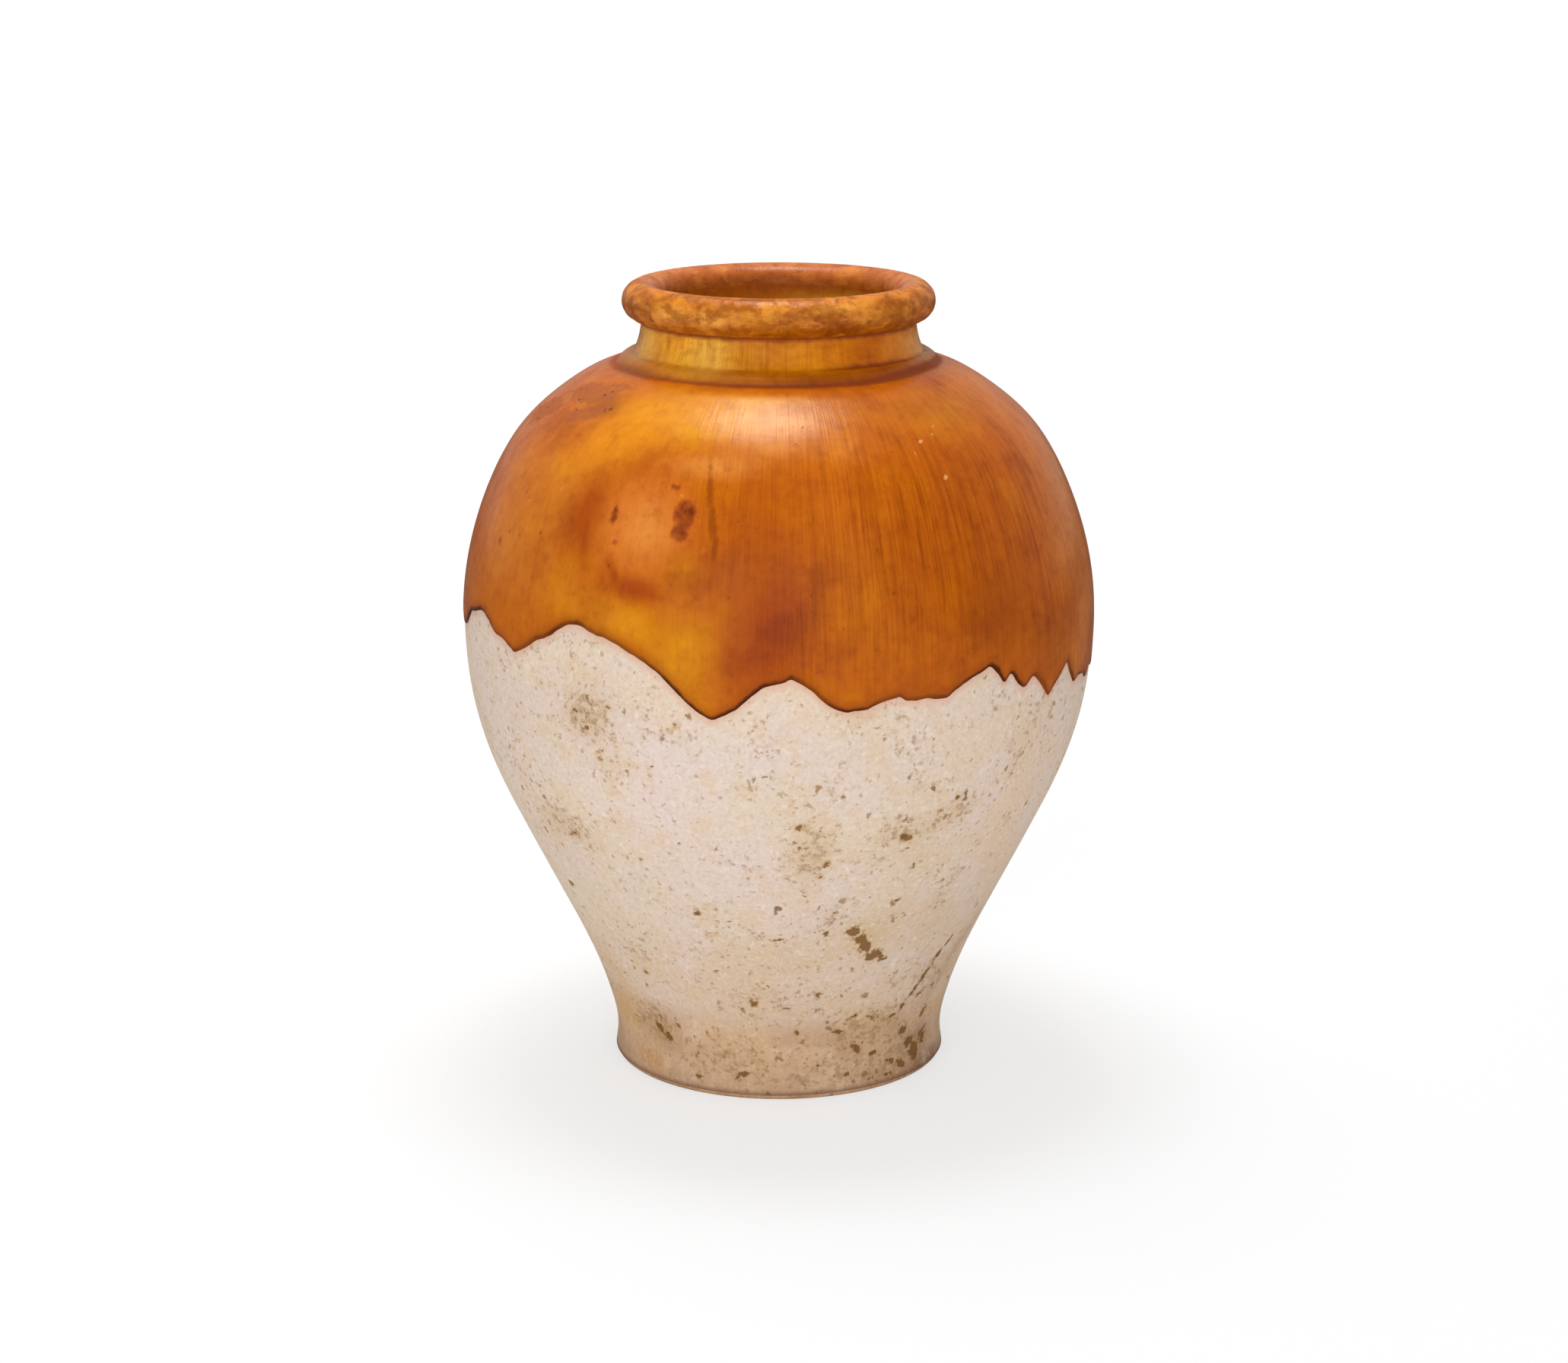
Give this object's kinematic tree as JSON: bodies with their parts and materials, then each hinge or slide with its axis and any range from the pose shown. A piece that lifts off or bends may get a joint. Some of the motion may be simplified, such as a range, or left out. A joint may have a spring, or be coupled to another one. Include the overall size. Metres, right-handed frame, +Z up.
{
  "type": "martaban jar",
  "caption": "Tall round-bellied storage jar with a narrow foot, a short neck and a rolled rim, amber glaze dripping over a pale matt lower body.",
  "frame": {"origin": "on the ground under the jar's axis, centre of the foot", "axes": "+Z up along the jar's axis, -Y towards the viewer of the picture, +X to the viewer's right"},
  "size_m": [0.351, 0.3511, 0.4406],
  "materials": {
    "clay": "fired stoneware, matt",
    "slip": "fired slip, matt",
    "wash": "pale lime-like wash, matt, pitted",
    "amber_glaze": "satin-glossy amber glaze, mottled",
    "inner_glaze": "thin brown glaze, satin"
  },
  "bodies": {
    "root": {"base_slab": "clay", "foot_ring": "clay", "lower_wall": "clay", "lower_belly": "clay", "upper_belly": "clay", "lower_shoulder": "clay", "upper_shoulder": "clay", "neck_collar": "clay", "neck_coil": "clay", "rim_roll": "clay", "luting_slip": "slip", "pale_wash": "wash", "outer_glaze": "amber_glaze", "inner_glaze": "inner_glaze"}
  },
  "joints": []
}
